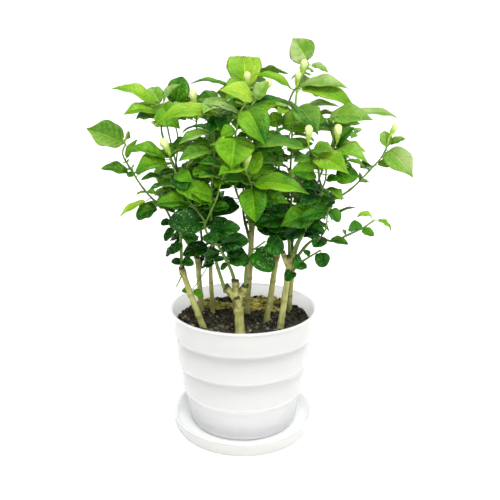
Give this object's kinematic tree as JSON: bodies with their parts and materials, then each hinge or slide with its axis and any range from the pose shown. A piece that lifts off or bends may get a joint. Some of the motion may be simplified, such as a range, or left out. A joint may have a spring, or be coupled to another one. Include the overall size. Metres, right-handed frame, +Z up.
{
  "type": "potted arabian jasmine",
  "caption": "Young arabian jasmine shrub with woody canes, glossy green leaves and closed cream buds, in a white banded plastic pot that stands on its round saucer.",
  "frame": {"origin": "on the pot's axis at the saucer's flat underside", "axes": "+Z up, +X to the right seen from the front, +Y to the back"},
  "size_m": [0.3056, 0.2237, 0.3965],
  "materials": {
    "white_plastic": "smooth glossy white injection-moulded plastic",
    "soil": "crumbly dark brown peat with orange-brown fibre and moss",
    "cane_bark": "dull tan-olive bark with ringed nodes",
    "leaf": "glossy quilted leaf, light yellow-green at the top and dark green low down, with green twigs",
    "bud": "satin cream petals, furled"
  },
  "bodies": {
    "root": {"bud_1": "bud", "bud_10": "bud", "bud_11": "bud", "bud_12": "bud", "bud_13": "bud", "bud_14": "bud", "bud_2": "bud", "bud_3": "bud", "bud_4": "bud", "bud_5": "bud", "bud_6": "bud", "bud_7": "bud", "bud_8": "bud", "bud_9": "bud", "cane_1": "cane_bark", "cane_2": "cane_bark", "cane_3": "cane_bark", "cane_4": "cane_bark", "cane_5": "cane_bark", "cane_6": "cane_bark", "cane_7": "cane_bark", "cane_8": "cane_bark", "pot": "white_plastic", "saucer": "white_plastic", "shoot_back_left": "leaf", "shoot_back_low_left": "leaf", "shoot_back_low_mid": "leaf", "shoot_back_low_right": "leaf", "shoot_back_mid": "leaf", "shoot_back_mid_left": "leaf", "shoot_back_mid_right": "leaf", "shoot_back_right": "leaf", "shoot_bud_left": "leaf", "shoot_bud_top": "leaf", "shoot_centre": "leaf", "shoot_centre_left": "leaf", "shoot_far_right": "leaf", "shoot_front": "leaf", "shoot_front_branch": "leaf", "shoot_front_right": "leaf", "shoot_left": "leaf", "shoot_low_mid": "leaf", "shoot_low_right": "leaf", "shoot_mid_right": "leaf", "shoot_right": "leaf", "shoot_top_left": "leaf", "shoot_top_right": "leaf", "soil": "soil"}
  },
  "joints": []
}
